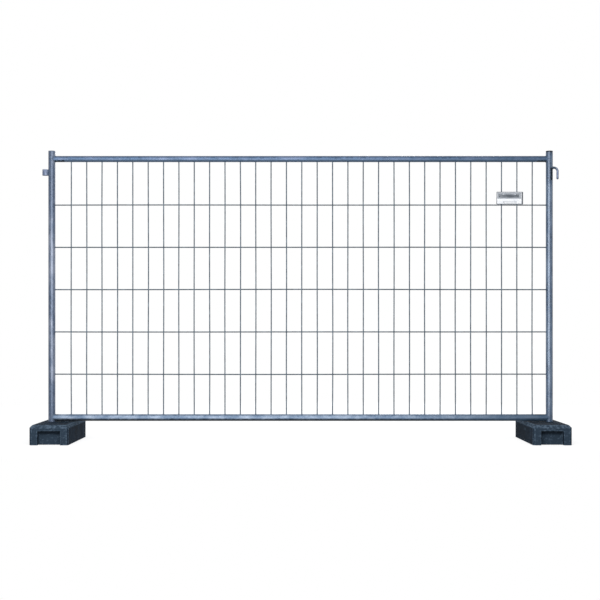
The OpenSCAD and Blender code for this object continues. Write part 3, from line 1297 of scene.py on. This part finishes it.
@dataclass
class Foot:
    """A moulded block with two sockets and a hand grip in each end."""

    side: Side
    axis_x: float = FOOT_X
    width: float = 0.26
    length: float = 0.72
    height: float = 0.135
    chamfer: float = 0.018
    corner: float = 0.012
    grip: Point = (0.152, 0.05, 0.095)
    socket_r: float = 0.02535
    socket_pitch: float = 0.0935
    socket_floor: float = 0.008
    rounding: float = 0.0024
    rub: float = 0.005
    sharp: float = 0.4
    wide_area: float = 0.0008
    sloped: Span = (0.3, 0.9)
    lip_wear: float = 0.8
    edge_wear: float = 0.7
    slope_wear: float = 0.65
    # painted light: lightens the ends and grip walls of the foot
    front_wear_and_light: float = 0.25
    flat_wear: float = 0.1

    def add_block(self, bench: Bench) -> None:
        """Adds the block with its corners cut and its top edges chamfered.

        Args:
            bench: the mesh that gets it.
        """
        bm = bench.bm
        size = Matrix.Diagonal((self.width, self.length, self.height, 1))
        bmesh.ops.create_cube(bm, size=1, matrix=at(0, 0, self.height / 2) @ size)
        corners = [e for e in bm.edges if abs(e.verts[0].co.z - e.verts[1].co.z) > self.height / 2]
        bmesh.ops.bevel(bm, geom=corners, offset=self.corner, segments=1, **BEVEL)
        upper = [e for e in bm.edges if all(v.co.z > self.height - TINY for v in e.verts)]
        bmesh.ops.bevel(bm, geom=upper, offset=self.chamfer, segments=1, **BEVEL)
        bm.normal_update()

    def in_grip(self, face: BMFace) -> bool:
        """Whether a face lies within the grips' width."""
        return abs(face.calc_center_median().x) < self.grip[0] / 2

    def add_grips(self, bench: Bench, mark: Made) -> None:
        """Presses the grips into both ends and opens them below.

        Args:
            bench: the mesh of the block.
            mark: what the mesh held before.
        """
        bm = bench.bm
        wide, deep, high = self.grip
        inner = self.length / 2 - deep
        for axis, place in ((0, -wide / 2), (0, wide / 2), (2, high), (1, -inner), (1, inner)):
            bench.cut(mark, axis, place)
        faces = [f for f in bm.faces if self.in_grip(f)]
        fronts = [
            f for f in faces if abs(f.normal.y) > FACING and f.calc_center_median().z < high
        ]
        for front in fronts:
            inward = -math.copysign(deep, front.normal.y)
            pressed = bmesh.ops.extrude_discrete_faces(bm, faces=[front])["faces"]
            bmesh.ops.translate(bm, vec=(0, inward, 0), verts=pressed[0].verts[:])
        below = [
            f for f in bm.faces
            if self.in_grip(f) and abs(f.calc_center_median().y) > inner
            and all(v.co.z < TINY for v in f.verts)
        ]
        bmesh.ops.delete(bm, geom=below, context="FACES")
        bmesh.ops.remove_doubles(bm, verts=bm.verts[:], dist=TINY)
        bmesh.ops.dissolve_limit(bm, angle_limit=FLAT_ANGLE, verts=bm.verts[:], edges=bm.edges[:])
        bmesh.ops.recalc_face_normals(bm, faces=bm.faces[:])

    def face_wear_and_light(self, normal: Vector) -> float:
        """Picks the wear of a flat face by the way it faces; on the faces across the length it is
        painted light.

        Args:
            normal: the face's normal.

        Returns:
            The wear, from 0 to 1.
        """
        if self.sloped[0] < normal.z < self.sloped[1]:
            return self.slope_wear
        return self.front_wear_and_light if abs(normal.y) > FACING else self.flat_wear

    def add_wear_and_light(self, bench: Bench) -> BMFace:
        """Rounds the edges, and marks them as rubbed with a soft border on the faces beside them;
        the faces get a wear by the way they face, painted light on the ends.

        Args:
            bench: the mesh of the block.

        Returns:
            The flat middle of the block's top.
        """
        bm = bench.bm
        wear = bm.verts.layers.float.new("wear")
        sharp = [e for e in bm.edges if e.is_manifold and e.calc_face_angle() > self.sharp]
        rounded = set(bench.round_off(sharp, self.rounding))
        rubbed = {v for f in rounded for v in f.verts}
        wide = [f for f in bm.faces if f not in rounded and f.calc_area() > self.wide_area]
        bmesh.ops.inset_individual(bm, faces=wide, thickness=self.rub, use_even_offset=True)
        for vert in rubbed:
            vert[wear] = self.edge_wear
        # the wide faces take a wear by the way they face, which on the ends is painted light
        for face in wide:
            for vert in face.verts:
                vert[wear] = self.face_wear_and_light(face.normal)
        lid = max((f for f in wide if f.normal.z > FACING), key=BMFace.calc_area)
        bmesh.ops.remove_doubles(bm, verts=lid.verts[:], dist=self.rub)
        return lid

    def add_sockets(self, bench: Bench, lid: BMFace) -> None:
        """Sinks both sockets from the top.

        Args:
            bench: the mesh of the block.
            lid: the flat middle of the block's top.
        """
        bm = bench.bm
        wear = bm.verts.layers.float["wear"]
        rims = list(lid.edges)
        lips: list[BMEdge] = []
        border = self.socket_r + self.rub
        bmesh.ops.delete(bm, geom=[lid], context="FACES_ONLY")
        for x in (-self.socket_pitch / 2, self.socket_pitch / 2):
            ring = bench.ring(TUBE_SIDES, border, False, at(x, 0, self.height))
            edges = bench.loop(ring)
            rims += edges
            lip = bench.draw(edges, Vector(), self.socket_r / border)
            lips += lip
            bottom = bench.draw(lip, UP * (self.socket_floor - self.height))
            bmesh.ops.edgeloop_fill(bm, edges=bottom)
            for vert in ring:
                vert[wear] = self.flat_wear
        bmesh.ops.triangle_fill(bm, edges=rims, use_beauty=True, normal=UP)
        bmesh.ops.recalc_face_normals(bm, faces=bm.faces[:])
        for face in bench.round_off(lips, self.rounding):
            for vert in face.verts:
                vert[wear] = self.lip_wear

    def build(self) -> None:
        """Makes the foot."""
        bench = Bench()
        mark = bench.mark()
        self.add_block(bench)
        self.add_grips(bench, mark)
        self.add_sockets(bench, self.add_wear_and_light(bench))
        bmesh.ops.remove_doubles(bench.bm, verts=bench.bm.verts[:], dist=TINY)
        bench.settle(mark, at(self.side.value * self.axis_x, 0, 0))
        node = self.side.named("foot")
        bench.piece(node, "block", [FOOT_PLASTIC], Slot.FOOT, Body(node))


@dataclass(frozen=True)
class Slab:
    """A flat sheet with round corners: its middle, width and height, front and back."""

    x: float
    z: float
    size: Span
    ys: Span
    corner: float
    edge: float
    corner_steps: int = 5
    border: float = 4.0

    def build(self, node: str, ending: str, finish: Finish, slot: Slot) -> None:
        """Makes the sheet.

        Args:
            node: the node it stands for.
            ending: the end of the piece's name.
            finish: its finish.
            slot: handed on to the piece.
        """
        bench = Bench()
        mark = bench.mark()
        (wide, high), (front, back) = self.size, self.ys
        middle = at(self.x, (front + back) / 2, self.z)
        shape = middle @ Matrix.Diagonal((wide, back - front, high, 1))
        edges = bench.loop(bmesh.ops.create_cube(bench.bm, size=1, matrix=shape)["verts"])
        across = [e for e in edges if abs(e.verts[0].co.y - e.verts[1].co.y) > TINY]
        bench.round_off(across, self.corner, self.corner_steps)
        bench.round_off(bench.sharp_since(mark), self.edge)
        bench.edge_flats(mark, 1, self.border * self.edge)
        bench.settle(mark)
        bench.piece(node, ending, [finish], slot)


@dataclass
class Sign:
    """A blank sign: plate and face in front of two wires, clamp bars behind, four rivets."""

    middle_x: float = 1.45
    wires_x: float = 1.447
    width: float = 0.184557
    height: float = 0.087
    low_z: float = 1.641
    plate_y: Span = (-0.010075, -0.008075)
    plate_corner: float = 0.004
    plate_edge: float = 0.0004
    face_y: Span = (-0.010675, -0.010075)
    face_corner: float = 0.003
    face_edge: float = 0.00015
    print_depth: float = 0.05
    border: float = 0.004
    bar_y: Span = (0.000025, 0.003025)
    bar_corner: float = 0.004
    bar_edge: float = 0.0005
    bar_width: float = 0.130557
    bar_height: float = 0.014
    bar_inset: float = 0.018
    rivet_reach: float = 0.040778
    shank_r: float = 0.0024
    head_r: float = 0.0045
    head_h: float = 0.0016
    head_sides: int = 20
    head_rounding: float = 0.8
    head_steps: int = 4
    pit: Span = (0.35, 0.4)

    def face_finish(self) -> Finish:
        """White face with a plain dark band, a thin box and a dark right-hand edge.

        Returns:
            The finish of the face.
        """
        blocks = (
            ("#9ba0a6", -0.004, 0.0165, 0.082, 0.0215),
            ("#565c63", -0.007, 0.0140, 0.070, 0.0110),
            ("#a4a8ae", -0.001, -0.0285, 0.047, 0.0075),
            ("#e4e6e9", -0.001, -0.0285, 0.0445, 0.005),
            ("#53575d", 0.0860, 0.0, 0.0045, 0.05),
        )
        x, z = self.middle_x, self.low_z + self.height / 2
        marks = tuple(
            Mark(tone, (x + right, 0, z + up), (half_w, self.print_depth, half_h))
            for tone, right, up, half_w, half_h in blocks
        )
        return CoatedSheet("sign_print", "#c3c8d0", "#f0f2f5", "#f8f8f9", (0.3, 0.5), 0.2, marks)

    def add_head(self, bench: Bench, x: float, y: float, z: float, out: int) -> None:
        """Adds one rivet head with the pit of its mandrel.

        Args:
            bench: the mesh that gets it.
            x: place of the rivet.
            y: the face it sits on.
            z: height of the rivet.
            out: -1 to the front, 1 to the back.
        """
        mark = bench.mark()
        ring = bench.ring(self.head_sides, self.head_r, True)
        top = bench.grow(list(ring[0].link_faces), UP * self.head_h)
        bench.round_off(bench.loop(top), self.head_h * self.head_rounding, self.head_steps)
        highest = self.head_h - TINY
        crown = [f for f in bench.faces_since(mark) if all(v.co.z > highest for v in f.verts)]
        rim, depth = self.head_r * self.pit[0], self.head_h * self.pit[1]
        bmesh.ops.inset_region(bench.bm, faces=crown, thickness=rim)
        bench.grow(crown, UP * -depth, True)
        bench.settle(mark, at(x, y, z) @ Matrix.Rotation(-out * QUARTER, 4, "X"))

    def build_rivets(self, heights: list[float]) -> None:
        """Makes the rivets.

        Args:
            heights: heights of the clamp bars.
        """
        bench = Bench()
        front, back = self.face_y[0], self.bar_y[1]
        for x in (self.wires_x - self.rivet_reach, self.wires_x + self.rivet_reach):
            for z in heights:
                shank = at(x, front, z) @ Matrix.Rotation(-QUARTER, 4, "X")
                bench.rod(self.shank_r, back - front, shank)
                self.add_head(bench, x, front, z, -1)
                self.add_head(bench, x, back, z, 1)
        bench.piece("sign_rivets", "heads", [RIVET_ALLOY], Slot.RIVET)

    def build(self) -> None:
        """Makes plate, face, bars and rivets."""
        x, z = self.middle_x, self.low_z + self.height / 2
        outer = (self.width, self.height)
        inner = (self.width - 2 * self.border, self.height - 2 * self.border)
        backing = CoatedSheet("sign_back", "#3f4349", "#5b6067", "#8a9097", (0.4, 0.6))
        plate = Slab(x, z, outer, self.plate_y, self.plate_corner, self.plate_edge)
        plate.build("sign_plate", "sheet", backing, Slot.BACKING)
        face = Slab(x, z, inner, self.face_y, self.face_corner, self.face_edge)
        face.build("sign_face", "print", self.face_finish(), Slot.WHITE)
        lower, upper = self.low_z + self.bar_inset, self.low_z + self.height - self.bar_inset
        bar_size = (self.bar_width, self.bar_height)
        for node, bar_z in (("sign_bar_lower", lower), ("sign_bar_upper", upper)):
            bar = Slab(
                self.wires_x, bar_z, bar_size, self.bar_y, self.bar_corner, self.bar_edge
            )
            bar.build(node, "strip", BAR_ZINC, Slot.BAR)
        self.build_rivets([lower, upper])


@dataclass(frozen=True)
class Lamp:
    """One soft lamp that is aimed at the panel, with its power in watts, width and height."""

    name: str
    power: float
    place: Point
    size: Span
    aim: Point = (0.0, 0.0, 0.9)

    def build(self) -> None:
        """Adds the lamp."""
        data = bpy.data.lights.new(self.name, "AREA")
        data.shape = "RECTANGLE"
        data.size, data.size_y = self.size
        data.energy = self.power
        made = show(self.name, data)
        made.location = self.place
        way = Vector(self.aim) - made.location
        made.rotation_euler = way.to_track_quat("-Z", "Y").to_euler()
        made.visible_camera = False


@dataclass
class Studio:
    """Pale floor, soft light from ahead, above and behind, and a camera square to the panel."""

    lamps: tuple[Lamp, ...] = (
        Lamp("key", 60.0, (-1.8, -5.9, 4.6), (1.6, 1.6)),
        Lamp("strip", 200.0, (-0.5, -4.5, 1.38), (4.6, 2.7)),
        Lamp("fill", 90.0, (1.6, 5.6, 3.6), (1.6, 1.6)),
    )
    ambient: float = 0.5
    ambient_tint: Tint = (0.95, 0.97, 1.0, 1.0)
    floor_half: float = 40.0
    floor_tone: Tint = (0.3, 0.3, 0.31, 1.0)
    shadow_tone: Tint = (0.35, 0.35, 0.35, 1.0)
    shadow_glow: float = 0.78
    shadow_y: float = 2.0
    shadow_reach: Point = (0.29, 0.31, 0.0)
    shadow_edge: Span = (0.85, 1.15)
    camera_place: Point = (-0.004, -9.006, 0.745)
    lens: float = 77.87
    sensor: float = 36.0
    shift: float = 0.056
    far_clip: float = 300.0

    def seen(self, sheet: NodeSheet) -> Socket:
        """Picks the rays that show a surface: from the camera, a reflection or through glass.

        Args:
            sheet: the tree that asks.

        Returns:
            1 for those rays, otherwise 0.
        """
        rays = sheet.add("ShaderNodeLightPath").outputs
        both = sheet.math("MAXIMUM", rays["Is Camera Ray"], rays["Is Glossy Ray"])
        return sheet.math("MAXIMUM", both, rays["Is Transmission Ray"])

    def build_world(self) -> None:
        """Soft light from all round, white where it shows."""
        world = bpy.data.worlds.new("soft_room")
        world.use_nodes = True
        sheet = NodeSheet(world.node_tree)
        tint = {"Color": self.ambient_tint, "Strength": self.ambient}
        soft = sheet.add("ShaderNodeBackground", tint)
        white = sheet.add("ShaderNodeBackground", {"Color": WHITE, "Strength": 1.0})
        mixed = sheet.mix(self.seen(sheet), soft, white)
        sheet.add("ShaderNodeOutputWorld", {"Surface": mixed.outputs[0]})
        bpy.context.scene.world = world

    def build_floor(self) -> None:
        """A wide floor that shows white and keeps the shadow round the panel."""
        made = bpy.data.materials.new("pale_floor")
        made.use_nodes = True
        sheet = NodeSheet(made.node_tree)
        plain = sheet.add("ShaderNodeBsdfDiffuse", {"Color": self.floor_tone})
        shade = sheet.add("ShaderNodeBsdfDiffuse", {"Color": self.shadow_tone})
        glow = sheet.add("ShaderNodeEmission", {"Strength": self.shadow_glow})
        near = sheet.add("ShaderNodeAddShader", {0: shade.outputs[0], 1: glow.outputs[0]})
        far = sheet.add("ShaderNodeEmission", {"Strength": 1.0})
        place = sheet.add("ShaderNodeNewGeometry").outputs["Position"]
        off = sheet.vector("SUBTRACT", place, (0, self.shadow_y, 0))
        oval = sheet.vector("MULTIPLY", off, self.shadow_reach)
        length = sheet.add("ShaderNodeVectorMath", {0: oval}, operation="LENGTH").outputs["Value"]
        pale = sheet.mix(sheet.step(length, *self.shadow_edge), near, far)
        mixed = sheet.mix(self.seen(sheet), plain, pale)
        sheet.add("ShaderNodeOutputMaterial", {"Surface": mixed.outputs[0]})
        bench = Bench()
        bmesh.ops.create_grid(bench.bm, x_segments=1, y_segments=1, size=self.floor_half)
        bench.close("floor", [made])

    def build_camera(self) -> None:
        """Sets up the camera of the photograph."""
        data = bpy.data.cameras.new("camera")
        data.lens = self.lens
        data.sensor_width = self.sensor
        data.shift_y = self.shift
        data.clip_end = self.far_clip
        camera = show("camera", data)
        camera.location = self.camera_place
        camera.rotation_euler = (QUARTER, 0, 0)
        bpy.context.scene.camera = camera

    def build(self) -> None:
        """Sets the studio up."""
        self.build_world()
        self.build_floor()
        for lamp in self.lamps:
            lamp.build()
        self.build_camera()
        bpy.context.scene.view_settings.view_transform = "Standard"


def main() -> None:
    """Builds every sub-assembly, then the studio."""
    logging.basicConfig(level=logging.INFO, format="%(message)s")
    tubes = TubeFrame()
    frame_parts = [tubes, WireInfill(tubes), Coupling(tubes), EndCaps(tubes)]
    for part in [*frame_parts, Foot(Side.LEFT), Foot(Side.RIGHT), Sign()]:
        part.build()
    Studio().build()


if __name__ == "__main__":
    main()
